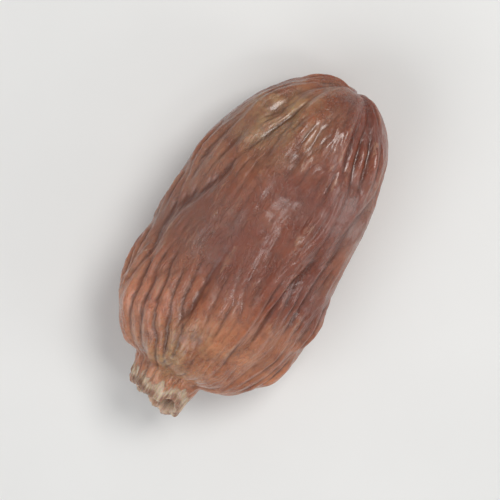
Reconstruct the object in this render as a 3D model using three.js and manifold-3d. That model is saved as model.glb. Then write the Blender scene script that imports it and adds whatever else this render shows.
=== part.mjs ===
// A pitted date: one dried fruit, with the pit pushed out through its stem end.
// Millimetres, +Z up. The date lies along X, with its apex at +X and the open stem end at -X.
// The origin is on the ground, under the middle of the date's box.

import * as THREE from 'three';
import { mergeVertices } from 'three/addons/utils/BufferGeometryUtils.js';
import Module from 'manifold-3d';

// Driving dimensions
const BODY_LENGTH = 34;
const BODY_WIDTH = 18.9;
const BODY_THICKNESS = 15.6;
const COLLAR_WIDTH = 5.7; // the torn flesh round the pit hole
const COLLAR_REACH = 2.9; // how far it stands out of the stem end
const MOUTH_WIDTH = 4.7;
const MOUTH_HEIGHT = 4.6;
const HOLLOW_WIDTH = 6.9; // where the pit lay
const HOLLOW_HEIGHT = 6.0;
const HOLLOW_FAR_END = 10; // past the middle of the body, towards the apex
const HOLLOW_NEAR_END = -16.5; // where it has narrowed to the mouth
const HOLLOW_WIDEST = -3;
const FLATTENED = 0.55; // how much of the underside the resting face takes off
const TROUGH_DEPTH = 1.1; // the top has sunk over the emptied hollow
const APEX_BEND = -0.9; // sideways
const STEM_BLUNTNESS = 5; // powers of the body's outline: high is blunt, 2 is elliptic
const APEX_BLUNTNESS = 2.35;
const SECTION_POWER = 3.4; // of the hollow's section: 2 is round, high is square

// How fine the surface is
const SKIN_RINGS = 50;
const SKIN_COLUMNS = 104;
const HOLLOW_RINGS = 16;
const HOLLOW_COLUMNS = 30;
const PROFILE_STEPS = 4000;

// Worked out from them
const HALF_LENGTH = BODY_LENGTH / 2;
const HALF_WIDTH = BODY_WIDTH / 2;
const HALF_THICKNESS = BODY_THICKNESS / 2;
const STEM_TIP = -HALF_LENGTH - COLLAR_REACH;
const GROUND = -(HALF_THICKNESS - FLATTENED);
const TURN = 2 * Math.PI;

// How the wrinkles change with the skin's radius
const MEAN_RADIUS = 7.2;
const FULL_HEIGHT = 6.5; // lower wrinkles below this radius
const DRAWN_TOGETHER = 5; // closer wrinkles, not fewer, below this radius

function randomFrom(seed) {
  let state = seed;
  return () => {
    state = (state * 16807) % 2147483647;
    return state / 2147483647;
  };
}

function smoothstep(start, end, value) {
  const t = Math.min(Math.max((value - start) / (end - start), 0), 1);
  return t * t * (3 - 2 * t);
}

function smoothMax(a, b, blend) {
  return 0.5 * (a + b + Math.hypot(a - b, blend));
}

// The shortest way round from one angle to another
function turnBetween(from, to) {
  const turn = to - from;
  return turn - TURN * Math.round(turn / TURN);
}

// The body's size along X, as a share of its largest: blunt at the stem, tapered at the apex
function girth(x) {
  const power = x < 0 ? STEM_BLUNTNESS : APEX_BLUNTNESS;
  return Math.sqrt(Math.max(0, 1 - Math.abs(x / HALF_LENGTH) ** power));
}

// The hollow's section is rounder than a square and squarer than a circle
function squareness(angle) {
  const sum = Math.abs(Math.cos(angle)) ** SECTION_POWER + Math.abs(Math.sin(angle)) ** SECTION_POWER;
  return sum ** (-1 / SECTION_POWER);
}

// The collar's flesh is of uneven thickness round the mouth
function collarForm(x, angle) {
  const uneven = 0.05 + 0.07 * Math.sin(2 * angle + 0.6) + 0.05 * Math.sin(5 * angle + 1);
  return 1 + uneven * smoothstep(-15.2, -17.2, x);
}

function skinRadius(x, bodyRadius) {
  const flare = 1 + 0.16 * smoothstep(STEM_TIP, -16.5, x);
  const collar = (COLLAR_WIDTH / 2) * flare * smoothstep(-10, -16, x);
  const fillet = 0.9 * smoothstep(-5, -13, x);
  return smoothMax(girth(x) * bodyRadius, collar, fillet);
}

function meanRadius(x) {
  return 0.5 * (skinRadius(x, HALF_WIDTH) + skinRadius(x, HALF_THICKNESS));
}

// The skin's profile, from the stem tip to the apex, with the length along the skin so far
function skinProfile() {
  const profile = [];
  let s = 0;
  for (let i = 0; i <= PROFILE_STEPS; i += 1) {
    const x = STEM_TIP + (HALF_LENGTH - STEM_TIP) * 0.5 * (1 - Math.cos((Math.PI * i) / PROFILE_STEPS));
    const radius = i === PROFILE_STEPS ? 0 : meanRadius(x);
    if (i > 0) {
      s += Math.hypot(x - profile[i - 1].x, radius - profile[i - 1].radius);
    }
    profile.push({ x, radius, s });
  }
  return profile;
}

const PROFILE = skinProfile();
const SKIN_LENGTH = PROFILE[PROFILE_STEPS].s;
const SKIN_AREA = SKIN_LENGTH * TURN * MEAN_RADIUS;

function alongSkin(s) {
  return PROFILE.find((place) => place.s >= s) ?? PROFILE[PROFILE_STEPS];
}

// A field of wave packets on the skin, of mean square 1. Each packet is a short bundle of parallel
// ridges that fades out all round, so that ridges start, run and die out as wrinkles do. They draw
// together towards both ends of the date.
function ripples({ seed, count, pitch, length, spread, lean }) {
  const random = randomFrom(seed);
  const level = 1 / Math.sqrt((count * Math.PI * length * spread) / (2 * SKIN_AREA));
  const packets = [];
  for (let i = 0; i < count; i += 1) {
    const s = random() * SKIN_LENGTH;
    packets.push({
      s,
      radius: Math.max(alongSkin(s).radius, DRAWN_TOGETHER),
      angle: random() * TURN,
      lean: (2 * random() - 1) * lean,
      wave: pitch * (0.7 + 0.6 * random()),
      phase: random() * TURN,
    });
  }
  return (s, angle) => {
    let sum = 0;
    for (const packet of packets) {
      const ds = s - packet.s;
      const da = turnBetween(packet.angle, angle) * packet.radius;
      const along = (ds * Math.cos(packet.lean) + da * Math.sin(packet.lean)) / length;
      const across = da * Math.cos(packet.lean) - ds * Math.sin(packet.lean);
      const fade = along * along + (across / spread) ** 2;
      if (fade < 16) {
        sum += Math.exp(-0.5 * fade) * Math.cos((TURN * across) / packet.wave + packet.phase);
      }
    }
    return sum * level;
  };
}

const calm = ripples({ seed: 7, count: 40, pitch: 17, length: 7, spread: 7, lean: 1.5 });
const folds = ripples({ seed: 11, count: 90, pitch: 5.6, length: 8.5, spread: 3.6, lean: 0.2 });
const wrinkles = ripples({ seed: 29, count: 420, pitch: 2.7, length: 4.2, spread: 1.8, lean: 0.28 });

// Broad forms of the body, before any fold
function bodyPoint(x, angle) {
  const inside = smoothstep(-17.2, -12, x) * smoothstep(17, 11, x);
  const uneven =
    0.03 * Math.cos(2 * angle - 0.9 + 0.05 * x) +
    0.022 * Math.cos(3 * angle + 1.1 - 0.1 * x) +
    0.012 * Math.cos(5 * angle + 0.16 * x);
  const shoulder = 0.06 * Math.max(Math.cos(angle), 0) * Math.exp(-(((x + 13) / 3.4) ** 2));
  const belly = 0.1 * Math.max(-Math.cos(angle), 0) ** 1.5 * Math.exp(-(((x + 7) / 6) ** 2));
  const swell = (1 + inside * uneven + shoulder + belly) * collarForm(x, angle);
  const troughCentre = Math.PI / 2 + 0.18 * Math.sin(x / 5);
  const fromTrough = turnBetween(troughCentre, angle) / 0.5;
  const trough = Math.exp(-fromTrough * fromTrough) * smoothstep(-13.5, -6, x) * smoothstep(13, 4, x);
  const bend = APEX_BEND * (Math.max(x, 0) / HALF_LENGTH) ** 2;
  const y = skinRadius(x, HALF_WIDTH) * Math.cos(angle) * swell;
  const z = skinRadius(x, HALF_THICKNESS) * Math.sin(angle) * swell;
  const lobes = 1 + 0.35 * Math.sin(3 * angle + 2.6) + 0.2 * Math.sin(5 * angle);
  const proud = Math.exp(-(((Math.hypot(y, z) - 6.4) / 1.9) ** 2)) * smoothstep(-13, -16.5, x);
  return new THREE.Vector3(x - 0.9 * lobes * proud, y + bend, z - TROUGH_DEPTH * trough);
}

// Soft flats, where the flesh was pressed: angle round X, lean, distance, share kept
const PRESSED = [
  { angle: 0.62, lean: 0.1, distance: 8.3, kept: 0.55 },
  { angle: 2.55, lean: -0.12, distance: 8.4, kept: 0.5 },
  { angle: 3.55, lean: 0.15, distance: 8.6, kept: 0.55 },
  { angle: 5.55, lean: -0.05, distance: 8.4, kept: 0.55 },
];

function press(point) {
  for (const { angle, lean, distance, kept } of PRESSED) {
    const towards = new THREE.Vector3(
      Math.sin(lean),
      Math.cos(angle) * Math.cos(lean),
      Math.sin(angle) * Math.cos(lean),
    );
    const over = point.dot(towards) - distance;
    const soft = 0.5 * (over + Math.hypot(over, 0.35));
    point.addScaledVector(towards, -(1 - kept) * soft);
  }
  return point;
}

// Long creases, where the loose skin has folded lengthwise: angle round X, where they start and
// end, and their depth
const CREASES = [
  { angle: 0.62, start: -14, end: 9, depth: 0.6 },
  { angle: 2.2, start: -15, end: 3, depth: 0.6 },
  { angle: 2.75, start: -9, end: 14, depth: 0.65 },
  { angle: 3.9, start: -15, end: 8, depth: 0.6 },
  { angle: 5.6, start: -12, end: 14, depth: 0.7 },
];

function creases(x, angle, radius) {
  let depth = 0;
  CREASES.forEach((crease, index) => {
    const wander = 0.13 * Math.sin(x / 3.6 + 2.4 * index) + 0.07 * Math.sin(x / 1.9 + index);
    const away = (turnBetween(crease.angle + wander, angle) * radius) / 1.05;
    const run = smoothstep(crease.start, crease.start + 5, x) * smoothstep(crease.end, crease.end - 5, x);
    depth += crease.depth * run * Math.exp(-away * away);
  });
  return depth;
}

// 1 where the date's weight rests, fading to 0 round it
function underside(x, angle) {
  const away = turnBetween(-Math.PI / 2, angle) / 0.5;
  return Math.exp(-away * away) * smoothstep(-14, -8, x) * smoothstep(13, 7, x);
}

// 1 on the smooth top, fading to 0 round it
function smoothTop(x, angle) {
  const away = turnBetween(1.35, angle) / 0.75;
  return Math.exp(-away * away) * smoothstep(-13, -5, x) * smoothstep(14, 6, x);
}

// How high the folds and wrinkles stand at one place on the skin
function relief(x, s, angle) {
  const radius = meanRadius(x);
  const body = smoothstep(-17, -13.5, x);
  const slack = Math.min(radius / FULL_HEIGHT, 1) ** 0.9;
  const resting = underside(x, angle);
  const smooth = (1 - 0.65 * resting) * (1 - 0.55 * smoothTop(x, angle));
  const busy = (0.65 + 0.35 * Math.tanh(1.4 * calm(s, angle))) * smooth;
  const fold = folds(s, angle);
  const groove = Math.tanh((Math.log1p(Math.exp(-3 * (fold + 0.1))) / 3) ** 1.3);
  const wrinkle = Math.hypot(wrinkles(s, angle), 0.25);
  const stemPuckers = Math.abs(Math.sin(6.5 * angle + 0.9 * Math.sin(2 * angle))) - 0.6;
  return (
    body * slack * busy * (0.14 * fold - 0.68 * groove + 0.17) +
    slack * busy * 0.27 * (wrinkle - 0.75) +
    -creases(x, angle, radius) * (1 - resting) +
    0.24 * Math.exp(-(((x + 16.4) / 1.3) ** 2)) * stemPuckers
  );
}

// The torn edge of the mouth: set back on top, drawn out in a tongue below, ragged all round
function tornEdge(x, angle) {
  const ragged =
    0.2 * Math.sin(3 * angle + 1) + 0.2 * Math.sin(5 * angle + 2.2) + 0.15 * Math.sin(9 * angle + 0.5);
  const tongue = 0.9 * Math.sin(angle + 0.4) + 0.45 * Math.cos(2 * angle + 0.8);
  return smoothstep(-HALF_LENGTH + 0.6, STEM_TIP, x) * (tongue + ragged);
}

function skinGrid() {
  const stations = Array.from({ length: SKIN_RINGS }, (_, ring) =>
    alongSkin((ring * SKIN_LENGTH) / (SKIN_RINGS - 1)),
  );
  const angles = Array.from({ length: SKIN_COLUMNS }, (_, column) => (column * TURN) / SKIN_COLUMNS);
  const base = stations.map(({ x }) => angles.map((angle) => press(bodyPoint(x, angle))));
  return stations.map(({ x, s }, ring) =>
    angles.map((angle, column) => {
      const before = base[Math.max(ring - 1, 0)][column];
      const after = base[Math.min(ring + 1, SKIN_RINGS - 1)][column];
      const left = base[ring][(column + SKIN_COLUMNS - 1) % SKIN_COLUMNS];
      const right = base[ring][(column + 1) % SKIN_COLUMNS];
      const along = after.clone().sub(before);
      const round = right.clone().sub(left);
      const out = round.cross(along).normalize();
      const point = base[ring][column].clone().addScaledVector(out, relief(x, s, angle));
      const fromApex = Math.hypot(point.y - APEX_BEND, point.z) / 1.3;
      point.x += tornEdge(x, angle);
      point.x -= x > 10 ? 0.5 * Math.exp(-fromApex * fromApex) : 0;
      point.z = Math.max(point.z - GROUND, 0);
      return point;
    }),
  );
}

// A closed lathe whose rings are then moved, point by point, to the given grid. The two end rings
// close to a point, at their own middle.
function solidFromRings(rings, columns) {
  const profile = rings.map((ring, index) => new THREE.Vector2(1, index));
  const geometry = new THREE.LatheGeometry(profile, columns);
  const position = geometry.getAttribute('position');
  const middles = rings.map((ring) =>
    ring.reduce((sum, point) => sum.add(point), new THREE.Vector3()).divideScalar(columns),
  );
  for (let column = 0; column <= columns; column += 1) {
    rings.forEach((ring, index) => {
      const isEnd = index === 0 || index === rings.length - 1;
      const point = isEnd ? middles[index] : ring[column % columns];
      position.setXYZ(column * rings.length + index, point.x, point.y, point.z);
    });
  }
  geometry.deleteAttribute('normal');
  geometry.deleteAttribute('uv');
  return mergeVertices(geometry, 1e-4);
}

function skinSolid() {
  const grid = skinGrid();
  const closing = grid[0];
  return solidFromRings([closing, ...grid], SKIN_COLUMNS);
}

// The empty place of the pit, with a squarish section. It runs out through the mouth, torn round.
function hollowSolid() {
  const start = STEM_TIP - 3;
  const rings = [];
  for (let ring = 0; ring < HOLLOW_RINGS; ring += 1) {
    const t = Math.sin((Math.PI / 2) * (ring / (HOLLOW_RINGS - 1)));
    const x = start + (HOLLOW_FAR_END - start) * t;
    const reach = x > HOLLOW_WIDEST ? HOLLOW_FAR_END - HOLLOW_WIDEST : HOLLOW_WIDEST - HOLLOW_NEAR_END;
    const share = Math.min(Math.abs(x - HOLLOW_WIDEST) / reach, 1);
    const bulge = Math.sqrt(Math.max(0, 1 - share ** 3.2));
    const mouth = smoothstep(-6, -12, x);
    const halfWidth = smoothMax((bulge * HOLLOW_WIDTH) / 2, (mouth * MOUTH_WIDTH) / 2, 0.6 * mouth);
    const halfHeight = smoothMax((bulge * HOLLOW_HEIGHT) / 2, (mouth * MOUTH_HEIGHT) / 2, 0.6 * mouth);
    const points = [];
    for (let column = 0; column < HOLLOW_COLUMNS; column += 1) {
      const angle = (column * TURN) / HOLLOW_COLUMNS;
      const torn = 1 + 0.03 * Math.sin(3 * angle + 0.4) + 0.02 * Math.sin(5 * angle + 2);
      const form = torn + (squareness(angle) - torn) * smoothstep(-16, -11.5, x);
      points.push(new THREE.Vector3(
        x,
        halfWidth * Math.cos(angle) * form,
        halfHeight * Math.sin(angle) * form - GROUND,
      ));
    }
    rings.push(points);
  }
  return solidFromRings([rings[0], ...rings], HOLLOW_COLUMNS);
}

const wasm = await Module();
wasm.setup();

function toManifold(geometry) {
  return new wasm.Manifold(new wasm.Mesh({
    numProp: 3,
    vertProperties: new Float32Array(geometry.getAttribute('position').array),
    triVerts: new Uint32Array(geometry.getIndex().array),
  }));
}

function fromManifold(solid) {
  const mesh = solid.getMesh();
  const geometry = new THREE.BufferGeometry();
  geometry.setAttribute('position', new THREE.BufferAttribute(mesh.vertProperties, 3));
  geometry.setIndex(new THREE.BufferAttribute(mesh.triVerts, 1));
  return geometry;
}

function pittedDate() {
  const geometry = fromManifold(toManifold(skinSolid()).subtract(toManifold(hollowSolid())));
  geometry.computeBoundingBox();
  const middle = geometry.boundingBox.getCenter(new THREE.Vector3());
  geometry.translate(-middle.x, -middle.y, 0);
  geometry.computeVertexNormals();
  const skin = new THREE.MeshStandardMaterial({ color: 0x6f4034, roughness: 0.42, metalness: 0 });
  const mesh = new THREE.Mesh(geometry, skin);
  mesh.name = 'date';
  return mesh;
}

const part = new THREE.Group();
part.add(pittedDate());

export default part;
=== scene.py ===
"""The looks of a pitted date: wrinkled skin, torn collar and pit hollow, on a pale floor.

The form follows the same formulas as the solid's source, in millimetres, with finer wrinkles.
"""

import math

import bpy
import numpy as np
from mathutils import Matrix, Vector


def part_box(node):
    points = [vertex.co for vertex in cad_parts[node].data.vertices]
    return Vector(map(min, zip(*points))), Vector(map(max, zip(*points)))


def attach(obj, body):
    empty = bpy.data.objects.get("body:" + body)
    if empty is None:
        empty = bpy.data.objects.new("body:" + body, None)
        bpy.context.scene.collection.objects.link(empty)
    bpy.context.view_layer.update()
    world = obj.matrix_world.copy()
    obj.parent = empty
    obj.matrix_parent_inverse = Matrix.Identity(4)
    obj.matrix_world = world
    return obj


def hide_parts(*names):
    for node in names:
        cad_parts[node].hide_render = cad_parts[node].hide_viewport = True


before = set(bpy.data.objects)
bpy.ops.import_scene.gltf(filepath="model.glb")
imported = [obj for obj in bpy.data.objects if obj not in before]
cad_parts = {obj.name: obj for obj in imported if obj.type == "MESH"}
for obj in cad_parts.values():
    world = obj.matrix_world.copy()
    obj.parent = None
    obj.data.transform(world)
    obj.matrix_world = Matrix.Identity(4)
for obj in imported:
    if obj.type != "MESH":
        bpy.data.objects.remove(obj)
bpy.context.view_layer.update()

# Driving dimensions, in millimetres, as in the solid's source
BODY_LENGTH = 34
BODY_WIDTH = 18.9
BODY_THICKNESS = 15.6
COLLAR_WIDTH = 5.7
COLLAR_REACH = 2.9
MOUTH_WIDTH = 4.7
MOUTH_HEIGHT = 4.6
HOLLOW_WIDTH = 6.9
HOLLOW_HEIGHT = 6.0
HOLLOW_FAR_END = 10
HOLLOW_NEAR_END = -16.5
HOLLOW_WIDEST = -3
FLATTENED = 0.55
TROUGH_DEPTH = 1.1
APEX_BEND = -0.9
STEM_BLUNTNESS = 5
APEX_BLUNTNESS = 2.35
SECTION_POWER = 3.4

# How high the skin's low forms stand, and how deep they lie, in millimetres
FOLD_HEIGHT = 0.14
GROOVE_DEPTH = 0.68
WRINKLE_HEIGHT = 0.27
CRINKLE_HEIGHT = 0.05
PUCKER_HEIGHT = 0.24
FIBRE_HEIGHT = 0.1
DIMPLE_DEPTH = 0.5
LIP_ROUNDING = 0.4
LIP_FRAYING = 0.12

# Over how many millimetres the painted shade in creases comes in, the torn flesh ends and the hollow's
# painted shade sets in
CREASE_DEPTH = 0.12
TORN_REACH = 3.4
SHADE_REACH = 1.2

# How many times the relief is blurred to find its creases
BLURS = 14

# How fine the surface is
COLUMNS = 320
SKIN_RINGS = 234
LIP_RINGS = 14
HOLLOW_RINGS = 48
PROFILE_STEPS = 4000

# Worked out from the driving dimensions
HALF_LENGTH = BODY_LENGTH / 2
HALF_WIDTH = BODY_WIDTH / 2
HALF_THICKNESS = BODY_THICKNESS / 2
STEM_TIP = -HALF_LENGTH - COLLAR_REACH
GROUND = -(HALF_THICKNESS - FLATTENED)

# A full turn in radians, and a millimetre in metres
TURN = 2 * math.pi
MM = 0.001

# How the wrinkles change with the skin's radius
MEAN_RADIUS = 7.2
FULL_HEIGHT = 6.5
DRAWN_TOGETHER = 5

# Fields of wave packets on the skin: the random seed, how many packets there are, the pitch, length
# and spread of a packet in millimetres, and how far it may lean
CALM = {"seed": 7, "count": 40, "pitch": 17, "length": 7, "spread": 7, "lean": 1.5}
FOLDS = {"seed": 11, "count": 90, "pitch": 5.6, "length": 8.5, "spread": 3.6, "lean": 0.2}
WRINKLES = {"seed": 29, "count": 420, "pitch": 2.7, "length": 4.2, "spread": 1.8, "lean": 0.28}
CRINKLES = {"seed": 53, "count": 1500, "pitch": 1.05, "length": 1.9, "spread": 0.8, "lean": 0.5}

# Soft flats, where the flesh was pressed: angle round X, lean, distance, share kept
PRESSED = [
    (0.62, 0.1, 8.3, 0.55),
    (2.55, -0.12, 8.4, 0.5),
    (3.55, 0.15, 8.6, 0.55),
    (5.55, -0.05, 8.4, 0.55),
]

# Long creases, where the loose skin has folded lengthwise: angle round X, start, end and depth
CREASES = [
    (0.62, -14, 9, 0.6),
    (2.2, -15, 3, 0.6),
    (2.75, -9, 14, 0.65),
    (3.9, -15, 8, 0.6),
    (5.6, -12, 14, 0.7),
]

# Round places on the skin for its colours: place along X, angle round X, size and strength
PLACES = {
    "ends": [(10, 1.0, 6.5, 0.42)],
    "pale": [(-14.2, 1.45, 3.6, 1), (11, 0.9, 4.4, 1)],
    # On the flanks: a painted sheen with some waxy dust
    "dust_and_sheen": [(-1, 0.25, 8, 1), (4, 3.3, 6, 0.75)],
    "rosy": [(-11.5, 0.95, 3.2, 1)],
    # Places where the skin is darker red
    "darker_red": [(6, 1.7, 4.6, 1), (-5.5, 1.6, 4, 1), (12.5, 2.4, 5, 1.2)],
}


def random_from(seed):
    """The same run of random numbers from 0 to 1 each time."""
    state = seed

    def draw():
        nonlocal state
        state = state * 16807 % 2147483647
        return state / 2147483647

    return draw


def smoothstep(start, end, value):
    t = np.clip((value - start) / (end - start), 0, 1)
    return t * t * (3 - 2 * t)


def smooth_max(a, b, blend):
    return 0.5 * (a + b + np.hypot(a - b, blend))


def turn_between(first, second):
    """The shortest way round from one angle to another."""
    turn = second - first
    return turn - TURN * np.round(turn / TURN)


# The form

def girth(x):
    """The body's size along X, as a share of its largest: blunt stem, tapered apex."""
    power = np.where(x < 0, STEM_BLUNTNESS, APEX_BLUNTNESS)
    return np.sqrt(np.maximum(0, 1 - np.abs(x / HALF_LENGTH) ** power))


def squareness(angle):
    """The hollow's section is rounder than a square and squarer than a circle."""
    total = np.abs(np.cos(angle)) ** SECTION_POWER + np.abs(np.sin(angle)) ** SECTION_POWER
    return total ** (-1 / SECTION_POWER)


def collar_form(x, angle):
    """The collar's flesh is of uneven thickness round the mouth."""
    uneven = 0.05 + 0.07 * np.sin(2 * angle + 0.6) + 0.05 * np.sin(5 * angle + 1)
    return 1 + uneven * smoothstep(-15.2, -17.2, x)


def skin_radius(x, body_radius):
    flare = 1 + 0.16 * smoothstep(STEM_TIP, -16.5, x)
    collar = (COLLAR_WIDTH / 2) * flare * smoothstep(-10, -16, x)
    fillet = 0.9 * smoothstep(-5, -13, x)
    return smooth_max(girth(x) * body_radius, collar, fillet)


def mean_radius(x):
    return 0.5 * (skin_radius(x, HALF_WIDTH) + skin_radius(x, HALF_THICKNESS))


def skin_profile():
    """The skin's profile, from the stem tip to the apex: x, radius and length along the skin."""
    share = 0.5 * (1 - np.cos(np.pi * np.arange(PROFILE_STEPS + 1) / PROFILE_STEPS))
    x = STEM_TIP + (HALF_LENGTH - STEM_TIP) * share
    radius = mean_radius(x)
    radius[-1] = 0
    return x, radius, np.concatenate([[0], np.cumsum(np.hypot(np.diff(x), np.diff(radius)))])


PROFILE_X, PROFILE_RADIUS, PROFILE_S = skin_profile()
SKIN_LENGTH = PROFILE_S[-1]
SKIN_AREA = SKIN_LENGTH * TURN * MEAN_RADIUS


def ripples(s, angle, seed, count, pitch, length, spread, lean):
    """A field of wave packets on the skin, of mean square 1, for stations s and columns angle.

    Each packet is a short bundle of parallel ridges that fades out all round, so that ridges
    start, run and die out as wrinkles do. They draw together towards both ends of the date.
    """
    draw = random_from(seed)
    level = 1 / math.sqrt(count * math.pi * length * spread / (2 * SKIN_AREA))
    total = np.zeros((len(s), len(angle)))
    reach = 4 * max(length, spread)
    for _ in range(count):
        packet_s = draw() * SKIN_LENGTH
        packet_angle = draw() * TURN
        tilt = (2 * draw() - 1) * lean
        wave = pitch * (0.7 + 0.6 * draw())
        phase = draw() * TURN
        low, high = np.searchsorted(s, [packet_s - reach, packet_s + reach])
        ds = (s[low:high] - packet_s)[:, None]
        packet_radius = max(np.interp(packet_s, PROFILE_S, PROFILE_RADIUS), DRAWN_TOGETHER)
        da = turn_between(packet_angle, angle)[None, :] * packet_radius
        along = (ds * math.cos(tilt) + da * math.sin(tilt)) / length
        across = da * math.cos(tilt) - ds * math.sin(tilt)
        fade = along**2 + (across / spread) ** 2
        wanes = np.where(fade < 16, np.exp(-0.5 * fade), 0)
        total[low:high] += wanes * np.cos(TURN * across / wave + phase)
    return total * level


def body_points(x, angle):
    """Broad forms of the body, before any fold."""
    inside = smoothstep(-17.2, -12, x) * smoothstep(17, 11, x)
    uneven = (
        0.03 * np.cos(2 * angle - 0.9 + 0.05 * x)
        + 0.022 * np.cos(3 * angle + 1.1 - 0.1 * x)
        + 0.012 * np.cos(5 * angle + 0.16 * x)
    )
    shoulder = 0.06 * np.maximum(np.cos(angle), 0) * np.exp(-(((x + 13) / 3.4) ** 2))
    belly = 0.1 * np.maximum(-np.cos(angle), 0) ** 1.5 * np.exp(-(((x + 7) / 6) ** 2))
    swell = (1 + inside * uneven + shoulder + belly) * collar_form(x, angle)
    trough_centre = np.pi / 2 + 0.18 * np.sin(x / 5)
    from_trough = turn_between(trough_centre, angle) / 0.5
    trough = np.exp(-(from_trough**2)) * smoothstep(-13.5, -6, x) * smoothstep(13, 4, x)
    bend = APEX_BEND * (np.maximum(x, 0) / HALF_LENGTH) ** 2
    y = skin_radius(x, HALF_WIDTH) * np.cos(angle) * swell
    z = skin_radius(x, HALF_THICKNESS) * np.sin(angle) * swell
    lobes = 1 + 0.35 * np.sin(3 * angle + 2.6) + 0.2 * np.sin(5 * angle)
    proud = np.exp(-(((np.hypot(y, z) - 6.4) / 1.9) ** 2)) * smoothstep(-13, -16.5, x)
    return np.stack([x - 0.9 * lobes * proud, y + bend, z - TROUGH_DEPTH * trough], axis=2)


def press(points):
    for angle, lean, distance, kept in PRESSED:
        across = math.cos(lean)
        towards = np.array([math.sin(lean), math.cos(angle) * across, math.sin(angle) * across])
        over = points @ towards - distance
        soft = 0.5 * (over + np.hypot(over, 0.35))
        points = points - (1 - kept) * soft[..., None] * towards
    return points


def crease_depth(x, angle, radius):
    depth = 0
    for index, (place, start, end, deepest) in enumerate(CREASES):
        wander = 0.13 * np.sin(x / 3.6 + 2.4 * index) + 0.07 * np.sin(x / 1.9 + index)
        away = turn_between(place + wander, angle) * radius / 1.05
        run = smoothstep(start, start + 5, x) * smoothstep(end, end - 5, x)
        depth = depth + deepest * run * np.exp(-(away**2))
    return depth


def underside(x, angle):
    """1 where the date's weight rests, fading to 0 round it."""
    away = turn_between(-np.pi / 2, angle) / 0.5
    return np.exp(-(away**2)) * smoothstep(-14, -8, x) * smoothstep(13, 7, x)


def smooth_top(x, angle):
    """1 on the smooth top, fading to 0 round it."""
    away = turn_between(1.35, angle) / 0.75
    return np.exp(-(away**2)) * smoothstep(-13, -5, x) * smoothstep(14, 6, x)


def torn_fibres(angle):
    """Flesh torn lengthwise stands in uneven fibres round the mouth: from -1 to 1."""
    return 0.4 * np.sin(17 * angle + 1) + 0.3 * np.sin(29 * angle + 2) + 0.3 * np.sin(43 * angle)


def relief(x, s, angle):
    """How high the folds and wrinkles stand on the skin."""
    rows, columns = x[:, None], angle[None, :]
    radius = mean_radius(rows)
    body = smoothstep(-17, -13.5, rows)
    slack = np.minimum(radius / FULL_HEIGHT, 1) ** 0.9
    calm = ripples(s, angle, **CALM)
    fold = ripples(s, angle, **FOLDS)
    wrinkle = ripples(s, angle, **WRINKLES)
    crinkle = ripples(s, angle, **CRINKLES)
    resting = underside(rows, columns)
    busy = (0.65 + 0.35 * np.tanh(1.4 * calm)) * (1 - 0.65 * resting)
    busy = busy * (1 - 0.55 * smooth_top(rows, columns))
    groove = np.tanh((np.log1p(np.exp(-3 * (fold + 0.1))) / 3) ** 1.3)
    stem_puckers = np.abs(np.sin(6.5 * columns + 0.9 * np.sin(2 * columns))) - 0.6
    at_mouth = smoothstep(3.2, 0.6, s)[:, None]
    high = body * slack * busy * (FOLD_HEIGHT * fold - GROOVE_DEPTH * groove + 0.17)
    high += slack * busy * WRINKLE_HEIGHT * (np.hypot(wrinkle, 0.25) - 0.75)
    high -= crease_depth(rows, columns, radius) * (1 - resting)
    high += PUCKER_HEIGHT * np.exp(-(((rows + 16.4) / 1.3) ** 2)) * stem_puckers
    high += slack * (0.25 + 0.75 * busy) * CRINKLE_HEIGHT * (np.hypot(crinkle, 0.2) - 0.75)
    high += FIBRE_HEIGHT * torn_fibres(columns + 0.02 * s[:, None]) * at_mouth
    return high


def torn_edge(x, angle):
    """The mouth's torn edge: set back on top, drawn out in a tongue below, ragged all round."""
    ragged = 0.2 * np.sin(3 * angle + 1) + 0.2 * np.sin(5 * angle + 2.2) + 0.15 * np.sin(9 * angle + 0.5)
    tongue = 0.9 * np.sin(angle + 0.4) + 0.45 * np.cos(2 * angle + 0.8)
    return smoothstep(-HALF_LENGTH + 0.6, STEM_TIP, x) * (tongue + ragged)


def outward(points):
    """The directions that stand out from a grid of points that goes round X."""
    along = np.gradient(points, axis=0)
    around = np.roll(points, -1, axis=1) - np.roll(points, 1, axis=1)
    out = np.cross(around, along)
    return out / np.maximum(np.linalg.norm(out, axis=2, keepdims=True), 1e-9)


def skin_grid(x, s, angle):
    """The skin's points, and how high its folds and wrinkles stand there."""
    rows, columns = x[:, None], angle[None, :]
    base = press(body_points(rows, columns))
    high = relief(x, s, angle)
    points = base + outward(base) * high[..., None]
    from_apex = np.hypot(points[..., 1] - APEX_BEND, points[..., 2]) / 1.3
    dimple = np.where(rows > 10, DIMPLE_DEPTH * np.exp(-(from_apex**2)), 0)
    points[..., 0] += torn_edge(rows, columns) - dimple
    return points, high


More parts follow.
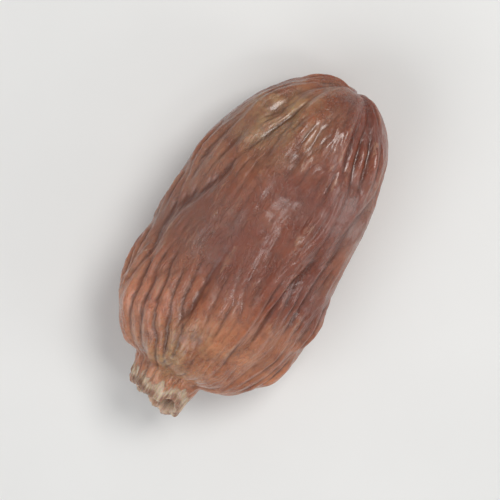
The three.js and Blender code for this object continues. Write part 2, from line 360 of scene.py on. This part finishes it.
def hollow_grid(angle):
    """The empty place of the pit, from its far end out to the mouth."""
    share = np.sin(0.5 * np.pi * np.arange(HOLLOW_RINGS) / (HOLLOW_RINGS - 1))
    x = (STEM_TIP + (HOLLOW_FAR_END - STEM_TIP) * share)[::-1, None]
    angle = angle[None, :]
    reach = np.where(x > HOLLOW_WIDEST, HOLLOW_FAR_END - HOLLOW_WIDEST, HOLLOW_WIDEST - HOLLOW_NEAR_END)
    bulge = np.sqrt(np.maximum(0, 1 - np.minimum(np.abs(x - HOLLOW_WIDEST) / reach, 1) ** 3.2))
    mouth = smoothstep(-6, -12, x)
    half_width = smooth_max(bulge * HOLLOW_WIDTH / 2, mouth * MOUTH_WIDTH / 2, 0.6 * mouth)
    half_height = smooth_max(bulge * HOLLOW_HEIGHT / 2, mouth * MOUTH_HEIGHT / 2, 0.6 * mouth)
    fibres = 1 + 0.018 * np.sin(17 * angle + 2 * np.sin(x / 4)) + 0.012 * np.sin(31 * angle + x / 3)
    torn = 1 + 0.03 * np.sin(3 * angle + 0.4) + 0.02 * np.sin(5 * angle + 2)
    form = (torn + (squareness(angle) - torn) * smoothstep(-16, -11.5, x)) * fibres
    y = half_width * np.cos(angle) * form
    z = half_height * np.sin(angle) * form
    return np.stack([x + torn_edge(x, angle), y, z], axis=2)


def lip_grid(inner, outer, angle):
    """Rings over the torn lip, from the hollow's last ring to the skin's first."""
    turns = np.pi * np.arange(1, LIP_RINGS + 1) / (LIP_RINGS + 1)
    middle = (inner + outer) / 2
    half = (outer - inner) / 2
    rings = middle - half * np.cos(turns)[:, None, None]
    fibres = torn_fibres(angle)
    lean = 0.5 * np.sin(7 * angle + 0.4) + 0.4 * fibres
    bead = np.sin(turns[:, None] + 0.35 * lean * np.sin(turns[:, None]))
    rings[..., 0] -= (LIP_ROUNDING + LIP_FRAYING * fibres) * bead
    return rings


# The mesh

def closed_mesh(name, grid, values):
    """A mesh over a grid of rings, with values as point attributes.

    The first and the last ring are closed to a point, at their own middle.
    """
    rings, columns, _ = grid[1:-1].shape
    corners = np.arange(rings * columns).reshape(rings, columns)
    beside = np.roll(corners, -1, axis=1)
    quads = np.stack([corners[:-1], beside[:-1], beside[1:], corners[1:]], axis=2).reshape(-1, 4)
    first = rings * columns
    last = first + 1
    start = [(first, b, a) for a, b in zip(corners[0], beside[0])]
    end = [(last, a, b) for a, b in zip(corners[-1], beside[-1])]
    tips = [grid[:1].mean(axis=1), grid[-1:].mean(axis=1)]
    points = np.concatenate([grid[1:-1].reshape(-1, 3), *tips])
    mesh = bpy.data.meshes.new(name)
    mesh.from_pydata((points * MM).tolist(), [], quads.tolist() + start + end)
    for key, value in values.items():
        tips = [value[:1].mean(axis=1), value[-1:].mean(axis=1)]
        flat = np.concatenate([value[1:-1].reshape(-1), *tips])
        mesh.attributes.new(key, "FLOAT", "POINT").data.foreach_set("value", flat.astype(np.float32))
    mesh.shade_smooth()
    mesh.validate()
    return mesh


def blurred(grid, times):
    for _ in range(times):
        grid = 0.25 * np.roll(grid, 1, axis=1) + 0.5 * grid + 0.25 * np.roll(grid, -1, axis=1)
        padded = np.pad(grid, ((1, 1), (0, 0)), mode="edge")
        grid = 0.25 * padded[:-2] + 0.5 * grid + 0.25 * padded[2:]
    return grid


def places(key, x, angle):
    """The round places of one colour on the skin, which fade out all round."""
    total = 0
    for centre_x, centre_angle, size, strength in PLACES[key]:
        away = np.hypot(x - centre_x, turn_between(centre_angle, angle) * MEAN_RADIUS) / size
        total = total + strength * np.exp(-(away**2))
    return total


def surface_values(x, s, angle, high, hollow):
    """What the material needs to know of each point, for the hollow, the lip and the skin."""

    def spread(hollow_value, lip_value, skin_value):
        return np.concatenate([
            np.broadcast_to(hollow_value, (HOLLOW_RINGS, COLUMNS)),
            np.broadcast_to(lip_value, (LIP_RINGS, COLUMNS)),
            np.broadcast_to(skin_value, (SKIN_RINGS, COLUMNS)),
        ])

    rows, columns = x[:, None], angle[None, :]
    cavity = np.clip((blurred(high, BLURS) - high) / CREASE_DEPTH, -1, 1)
    from_mouth = smoothstep(0, TORN_REACH, s)[:, None]
    over_lip = smoothstep(1, 0, np.linspace(0, 1, LIP_RINGS))[:, None]
    behind_edge = smoothstep(0, SHADE_REACH, hollow[..., 0] - hollow[-1, :, 0])
    stem_half = smoothstep(-3, -13, rows)
    stem_flanks = np.exp(-(((np.sin(columns) - 0.05) / 0.45) ** 2)) * smoothstep(-16, -11, rows)
    return {
        "crease": spread(0, 0, cavity),
        "tear": spread(1, 1, 1 - from_mouth),
        "inside": spread(1, over_lip, 0),
        # Painted shade inside the hollow, from its edge inwards
        "depth": spread(behind_edge, 0, 0),
        "ends": spread(0, 1, stem_half + places("ends", rows, columns)),
        "pale": spread(0, 1, places("pale", rows, columns)),
        # Painted sheen on the flanks, with some waxy dust
        "dust_and_sheen": spread(0, 0, places("dust_and_sheen", rows, columns) + 0.3 * stem_flanks),
        "rosy": spread(0, 0, places("rosy", rows, columns)),
        "darker_red": spread(0, 0, places("darker_red", rows, columns)),
    }


def date_mesh():
    """One closed surface, from the hollow's far end out over the lip and on over the skin."""
    angle = np.arange(COLUMNS) * TURN / COLUMNS
    s = np.linspace(0, SKIN_LENGTH, SKIN_RINGS)
    x = np.interp(s, PROFILE_S, PROFILE_X)
    skin, high = skin_grid(x, s, angle)
    hollow = hollow_grid(angle)
    lip = lip_grid(hollow[-1], skin[0], angle)
    grid = np.concatenate([hollow, lip, skin])
    grid[..., 2] = np.maximum(grid[..., 2] - GROUND, 0)
    low, high_corner = (np.array(corner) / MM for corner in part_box("date"))
    shift = (low + high_corner) / 2 - (grid.min(axis=(0, 1)) + grid.max(axis=(0, 1))) / 2
    grid[..., :2] += shift[:2]
    return closed_mesh("date_skin", grid, surface_values(x, s, angle, high, hollow))


# Materials, with lengths in metres from here on

# Colours in linear light, where a pair is a dark and a pale tone
ROSE_BROWN = (0.182, 0.034, 0.014, 1)
AMBER = (0.290, 0.077, 0.029, 1)
ORANGE = (0.560, 0.228, 0.110, 1)
OLIVE_TAN = (0.42, 0.27, 0.13, 1)
ROSE = (0.58, 0.20, 0.135, 1)
# Darker red for some places on the skin
DARK_RED = (0.165, 0.036, 0.024, 1)
BLOTCH = (0.12, 0.030, 0.018, 1)
MOTTLE = (0.10, 0.028, 0.018, 1)
# Painted shade in the creases
CREASE_SHADE = (0.070, 0.012, 0.004, 1)
LIFTED_SKIN = (0.50, 0.30, 0.19, 1)
# Painted shade in the fine wrinkles
FINE_LINE_SHADE = (0.07, 0.022, 0.014, 1)
# A pale veil: waxy dust, and a painted sheen on the flanks
BLOOM_AND_SHEEN = (0.36, 0.27, 0.21, 1)
FLESH = ((0.38, 0.245, 0.15, 1), (0.64, 0.515, 0.38, 1))
LINING = ((0.46, 0.29, 0.18, 1), (0.74, 0.56, 0.41, 1))
# Painted shade deep in the hollow
HOLLOW_SHADE = (0.21, 0.068, 0.022, 1)
TORN_EDGE = (0.17, 0.062, 0.030, 1)
FLOOR = ((0.79, 0.79, 0.78, 1), (0.81, 0.81, 0.80, 1))

# How a texture's coordinates are scaled along X: below 1, its features are drawn out along the date
EVEN = (1, 1, 1)
CREPED = (0.6, 1, 1)
COARSE_LINES = (0.3, 1, 1)
FINE_LINES = (0.5, 1, 1)
LENGTHWISE = (0.35, 1, 1)
FIBROUS = (0.14, 1, 1)


class Shader:
    """A short way to write a material's nodes."""

    def __init__(self, name):
        self.material = bpy.data.materials.new(name)
        self.material.use_nodes = True
        self.tree = self.material.node_tree
        self.surface = self.tree.nodes["Principled BSDF"]

    def node(self, kind, settings=None, **inputs):
        node = self.tree.nodes.new(kind)
        for key, value in (settings or {}).items():
            setattr(node, key, value)
        for key, value in inputs.items():
            self.put(node.inputs[key.replace("_", " ")], value)
        return node

    def put(self, socket, value):
        if isinstance(value, bpy.types.NodeSocket):
            self.tree.links.new(value, socket)
        else:
            socket.default_value = value

    def attribute(self, name):
        return self.node("ShaderNodeAttribute", {"attribute_name": name}).outputs["Fac"]

    def noise(self, stretch, scale, detail, roughness=0.55):
        where = self.node("ShaderNodeTexCoord").outputs["Object"]
        vector = self.node("ShaderNodeMapping", Vector=where, Scale=stretch).outputs["Vector"]
        node = self.node("ShaderNodeTexNoise", Vector=vector, Scale=scale, Detail=detail, Roughness=roughness)
        return node.outputs["Fac"]

    def patches(self, scale, detail, limits, to=(0.0, 1.0), roughness=0.55, stretch=EVEN):
        """Noise between two limits, spread smoothly over the values in to."""
        return self.ramp(self.noise(stretch, scale, detail, roughness), *limits, *to)

    def lines(self, stretch, scale, width):
        """Fine wandering lines: 0 on a line and 1 away from it."""
        away = self.math("SUBTRACT", self.noise(stretch, scale, 2.5, 0.5), 0.5)
        return self.ramp(self.math("ABSOLUTE", away), 0.0, width)

    def ramp(self, value, low, high, to_low=0.0, to_high=1.0):
        node = self.node("ShaderNodeMapRange", {"interpolation_type": "SMOOTHSTEP"}, Value=value)
        for key, number in (("From Min", low), ("From Max", high), ("To Min", to_low), ("To Max", to_high)):
            node.inputs[key].default_value = number
        return node.outputs["Result"]

    def math(self, operation, *values):
        node = self.node("ShaderNodeMath", {"operation": operation})
        for socket, value in zip(node.inputs, values):
            self.put(socket, value)
        return node.outputs[0]

    def times(self, a, b):
        return self.math("MULTIPLY", a, b)

    def plus(self, a, b):
        return self.math("ADD", a, b)

    def mix(self, share, a, b):
        node = self.node("ShaderNodeMix", {"data_type": "RGBA"})
        for socket, value in ((node.inputs[0], share), (node.inputs[6], a), (node.inputs[7], b)):
            self.put(socket, value)
        return node.outputs[2]

    def bump(self, height, strength, distance, normal=None):
        node = self.node("ShaderNodeBump", Height=height, Strength=strength, Distance=distance)
        if normal is not None:
            self.put(node.inputs["Normal"], normal)
        return node.outputs["Normal"]

    def finish(self, **inputs):
        for key, value in inputs.items():
            self.put(self.surface.inputs[key.replace("_", " ")], value)
        return self.material


def skin_tints(shader):
    """Rose-brown with amber patches, more orange at both ends, with tan, rosy and darker red places."""
    colour = shader.mix(shader.patches(130, 3, (0.38, 0.66)), ROSE_BROWN, AMBER)
    for key, strength, tint in (
        ("ends", shader.patches(230, 3, (0.3, 0.7), (0.35, 1.0)), ORANGE),
        ("pale", shader.patches(420, 4, (0.3, 0.65), (0.2, 0.9)), OLIVE_TAN),
        ("rosy", 0.42, ROSE),
        ("darker_red", shader.patches(300, 3, (0.25, 0.7), (0.15, 0.5)), DARK_RED),
    ):
        share = shader.times(shader.attribute(key), strength)
        colour = shader.mix(share, colour, tint)
    return colour


def aged_skin_and_crease_shade(shader, colour, crease):
    """Dark red mottling at two sizes, painted shade in the creases, and dry skin lifted off some ridges."""
    colour = shader.mix(shader.patches(520, 4, (0.5, 0.72), (0.0, 0.5), 0.6), colour, BLOTCH)
    colour = shader.mix(shader.patches(1300, 4, (0.45, 0.75), (0.0, 0.45), 0.65), colour, MOTTLE)
    # Painted shade in the creases, darkest where they are deepest
    colour = shader.mix(shader.ramp(crease, 0.0, 1.0, 0.0, 0.62), colour, CREASE_SHADE)
    lifted = shader.patches(650, 6, (0.555, 0.60), roughness=0.7, stretch=LENGTHWISE)
    ridge = shader.ramp(crease, 0.1, -0.6, 0.0, 0.34)
    return shader.mix(shader.times(lifted, ridge), colour, LIFTED_SKIN)


def fine_lines(shader):
    """Fine wrinkles that come and go: 1 in their lines and 0 away from them."""
    away = shader.times(shader.lines(COARSE_LINES, 1000, 0.08), shader.lines(FINE_LINES, 1900, 0.06))
    faint = shader.patches(350, 3, (0.35, 0.65), (0.15, 1.0))
    return shader.times(shader.math("SUBTRACT", 1.0, away), faint)


def bloom_and_sheen(shader, crease):
    """How thick the pale veil lies: waxy dust in random patches, and a painted sheen thicker on the flanks,
    all thinner in the creases.
    """
    bloom_sheen = shader.patches(310, 5, (0.4, 0.7), (0.0, 0.09), 0.6)
    bloom_sheen = shader.plus(bloom_sheen, shader.times(shader.attribute("dust_and_sheen"), 0.24))
    return shader.times(bloom_sheen, shader.ramp(crease, 0.1, 0.9, 1.0, 0.35))


def torn_share(shader):
    """1 on the torn flesh and 0 on the skin, with a frayed border."""
    frayed = shader.patches(900, 6, (0.25, 0.75), (-0.45, 0.45), 0.7, FIBROUS)
    return shader.ramp(shader.plus(shader.attribute("tear"), frayed), 0.5, 0.75)


def torn_flesh(shader, colour, torn, fibres):
    """Tan torn flesh in streaks with a dark edge, and the hollow's lining, with painted shade further in."""
    inside = shader.attribute("inside")
    streaks = shader.ramp(fibres, 0.35, 0.65)
    colour = shader.mix(torn, colour, shader.mix(streaks, *FLESH))
    # Painted shade, deeper into the hollow
    depth = shader.times(shader.attribute("depth"), 0.82)
    lining = shader.mix(depth, shader.mix(streaks, *LINING), HOLLOW_SHADE)
    colour = shader.mix(inside, colour, lining)
    edge = shader.times(shader.ramp(shader.attribute("tear"), 0.93, 1.0), shader.ramp(inside, 0.85, 0.35))
    edge = shader.times(edge, shader.ramp(fibres, 0.6, 0.42, 0.2, 0.75))
    return shader.mix(edge, colour, TORN_EDGE)


def skin_normal(shader, lines, fibres, torn):
    """Fine lines, creped skin and grain, and fibres where the flesh is torn."""
    normal = shader.bump(lines, 0.6, -0.00014)
    normal = shader.bump(shader.noise(CREPED, 1500, 5, 0.65), 0.5, 0.00016, normal)
    normal = shader.bump(shader.noise(EVEN, 4200, 4, 0.6), 0.4, 0.00005, normal)
    return shader.bump(shader.times(fibres, torn), 0.7, 0.0003, normal)


def date_material():
    shader = Shader("date_skin")
    crease = shader.attribute("crease")
    lines = fine_lines(shader)
    bloom_sheen = bloom_and_sheen(shader, crease)
    torn = torn_share(shader)
    fibres = shader.noise(FIBROUS, 1500, 6, 0.72)

    colour = aged_skin_and_crease_shade(shader, skin_tints(shader), crease)
    # Painted shade in the fine wrinkles
    colour = shader.mix(shader.times(lines, 0.17), colour, FINE_LINE_SHADE)
    # A pale veil of waxy dust, and a painted sheen on the flanks
    colour = shader.mix(bloom_sheen, colour, BLOOM_AND_SHEEN)
    colour = torn_flesh(shader, colour, torn, fibres)

    rough = shader.patches(420, 4, (0.3, 0.7), (0.25, 0.42))
    rough = shader.plus(rough, shader.times(bloom_sheen, 0.5))
    rough = shader.plus(rough, shader.times(torn, 0.3))
    return shader.finish(
        Base_Color=colour,
        Roughness=rough,
        Normal=skin_normal(shader, lines, fibres, torn),
        Subsurface_Weight=0.5,
        Subsurface_Radius=(1.0, 0.34, 0.16),
        Subsurface_Scale=0.0015,
        IOR=1.48,
        Coat_Weight=0.65,
        Coat_Roughness=0.18,
    )


def floor_material():
    shader = Shader("floor")
    colour = shader.mix(shader.patches(40, 3, (0.3, 0.7)), *FLOOR)
    return shader.finish(Base_Color=colour, Roughness=0.75)


# The pieces and the stage

FLOOR_HALF = 0.6


def add_date():
    piece = bpy.data.objects.new("date_skin", date_mesh())
    bpy.context.scene.collection.objects.link(piece)
    piece.data.materials.append(date_material())
    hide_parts("date")
    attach(piece, "root")


def add_floor():
    mesh = bpy.data.meshes.new("floor")
    corners = [(right * FLOOR_HALF, up * FLOOR_HALF, 0) for right, up in ((-1, -1), (1, -1), (1, 1), (-1, 1))]
    mesh.from_pydata(corners, [], [(0, 1, 2, 3)])
    floor = bpy.data.objects.new("floor", mesh)
    bpy.context.scene.collection.objects.link(floor)
    mesh.materials.append(floor_material())


# The camera looks down on the date, which lies with its apex up and to the right in the view.
# It stands a little towards the middle of the picture from straight above.
APEX_TURN = math.radians(58)
VIEW_LEAN = math.radians(8)
VIEW_LEAN_TOWARDS = math.radians(61)
CAMERA_DISTANCE = 0.42
VIEW_WIDTH = 0.05
SENSOR_WIDTH_MM = 36
VIEW_RIGHT = Vector((math.cos(APEX_TURN), -math.sin(APEX_TURN), 0))
VIEW_UP = Vector((math.sin(APEX_TURN), math.cos(APEX_TURN), 0))

# Lamps: place to the right, up and towards the viewer in the picture, width, height, power and colour
LAMPS = {
    "key": ((0.11, 0.10, 0.26), 0.12, 0.10, 0.42, (1.0, 0.985, 0.96)),
    "fill": ((-0.18, -0.13, 0.24), 0.28, 0.28, 0.42, (0.97, 0.98, 0.99)),
    "flank": ((0.25, -0.10, 0.10), 0.08, 0.22, 0.14, (1.0, 1.0, 1.0)),
    "glint": ((0.12, -0.05, 0.27), 0.05, 0.05, 0.046, (1.0, 1.0, 1.0)),
}
WORLD_COLOUR = (0.96, 0.96, 0.97, 1)
WORLD_STRENGTH = 0.3


def in_view(right, up, height):
    """A place given by how far it is to the right, up and towards the viewer in the picture."""
    return VIEW_RIGHT * right + VIEW_UP * up + Vector((0, 0, height))


def aim(thing, place, target, up):
    back = (place - target).normalized()
    right = up.cross(back).normalized()
    turned = Matrix((right, back.cross(right), back)).transposed()
    thing.matrix_world = Matrix.Translation(place) @ turned.to_4x4()


def add_camera(target):
    lens = bpy.data.cameras.new("camera")
    lens.sensor_width = SENSOR_WIDTH_MM
    lens.lens = SENSOR_WIDTH_MM * CAMERA_DISTANCE / VIEW_WIDTH
    lens.clip_start = 0.01
    camera = bpy.data.objects.new("camera", lens)
    bpy.context.scene.collection.objects.link(camera)
    leaning = math.sin(VIEW_LEAN)
    away = in_view(
        leaning * math.cos(VIEW_LEAN_TOWARDS),
        leaning * math.sin(VIEW_LEAN_TOWARDS),
        math.cos(VIEW_LEAN),
    )
    aim(camera, target + away * CAMERA_DISTANCE, target, VIEW_UP)
    bpy.context.scene.camera = camera


def add_lights(target):
    for name, (place, width, height, power, colour) in LAMPS.items():
        lamp = bpy.data.lights.new(name, "AREA")
        lamp.shape = "RECTANGLE"
        lamp.size = width
        lamp.size_y = height
        lamp.energy = power
        lamp.color = colour
        light = bpy.data.objects.new(name, lamp)
        bpy.context.scene.collection.objects.link(light)
        aim(light, in_view(*place), target, Vector((0, 0, 1)))


def add_world():
    world = bpy.data.worlds.new("studio")
    world.use_nodes = True
    background = world.node_tree.nodes["Background"]
    background.inputs["Color"].default_value = WORLD_COLOUR
    background.inputs["Strength"].default_value = WORLD_STRENGTH
    bpy.context.scene.world = world


add_date()
add_floor()
low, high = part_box("date")
middle = Vector([(a + b) / 2 for a, b in zip(low, high)])
add_camera(middle)
add_lights(middle)
add_world()
bpy.context.scene.view_settings.view_transform = "Standard"
